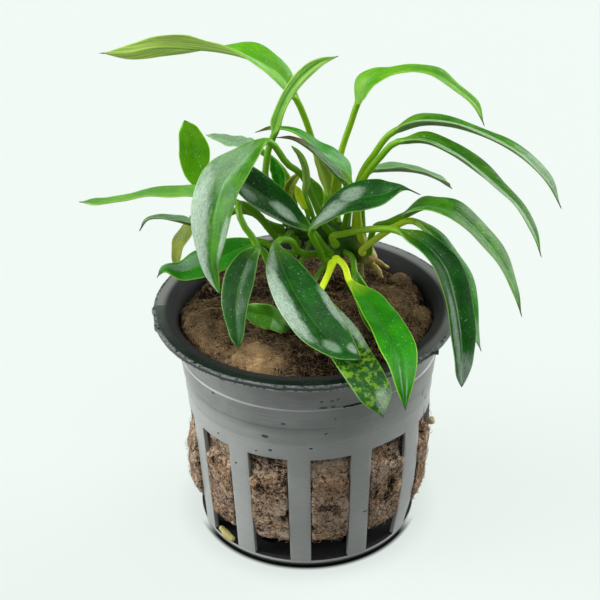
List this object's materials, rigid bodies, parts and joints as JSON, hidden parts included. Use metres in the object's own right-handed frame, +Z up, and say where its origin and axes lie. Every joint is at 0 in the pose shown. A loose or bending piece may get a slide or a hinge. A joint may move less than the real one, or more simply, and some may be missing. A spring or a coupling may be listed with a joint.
{
  "type": "potted anubias",
  "caption": "Small broad-leaved water plant with arching leaves on a creeping stem, growing from a wool plug in a round slotted basket pot.",
  "frame": {"origin": "centre of the pot's base, on the surface the pot stands on", "axes": "+Z up, +X to the right of the picture, -Y towards the viewer, where the front leaves hang over the rim"},
  "size_m": [0.0861, 0.0597, 0.0913],
  "materials": {
    "pot_plastic": "moulded grey plastic, slightly glossy, with dirt specks",
    "mineral_wool": "matted brown mineral wool fibres",
    "rhizome_skin": "green to tan plant stem",
    "leaf_dark": "dark green glossy leaf",
    "leaf_bright": "bright green leaf",
    "leaf_young": "young olive-green leaf",
    "leaf_yellow": "yellowing leaf",
    "root_skin": "pale yellow root"
  },
  "bodies": {
    "root": {"basket_pot": "pot_plastic", "leaf_back_left": "leaf_dark", "leaf_big_front": "leaf_dark", "leaf_big_front_left": "leaf_dark", "leaf_bright_front": "leaf_bright", "leaf_centre_dark": "leaf_dark", "leaf_centre_right": "leaf_dark", "leaf_curled_top": "leaf_bright", "leaf_dark_front_right": "leaf_dark", "leaf_dark_top": "leaf_dark", "leaf_inner_right": "leaf_dark", "leaf_long_left": "leaf_bright", "leaf_low_left": "leaf_bright", "leaf_low_right_back": "leaf_bright", "leaf_low_right_front": "leaf_dark", "leaf_mid_right": "leaf_dark", "leaf_outer_right": "leaf_dark", "leaf_pointed": "leaf_bright", "leaf_small_front_left": "leaf_dark", "leaf_thin_left": "leaf_dark", "leaf_thin_right": "leaf_bright", "leaf_top_left": "leaf_bright", "leaf_top_right": "leaf_bright", "leaf_under_front": "leaf_dark", "leaf_upright_left": "leaf_bright", "leaf_yellowed": "leaf_yellow", "rhizome": "rhizome_skin", "root_tip_left": "root_skin", "root_tip_right": "root_skin", "wool_plug": "mineral_wool", "young_leaf_arched": "leaf_young", "young_leaf_curved": "leaf_bright", "young_leaf_dark": "leaf_young", "young_leaf_green": "leaf_bright", "young_leaf_hanging": "leaf_bright", "young_leaf_left": "leaf_dark", "young_leaf_lying": "leaf_bright", "young_leaf_olive": "leaf_young", "young_leaf_yellow": "leaf_yellow"}
  },
  "joints": []
}
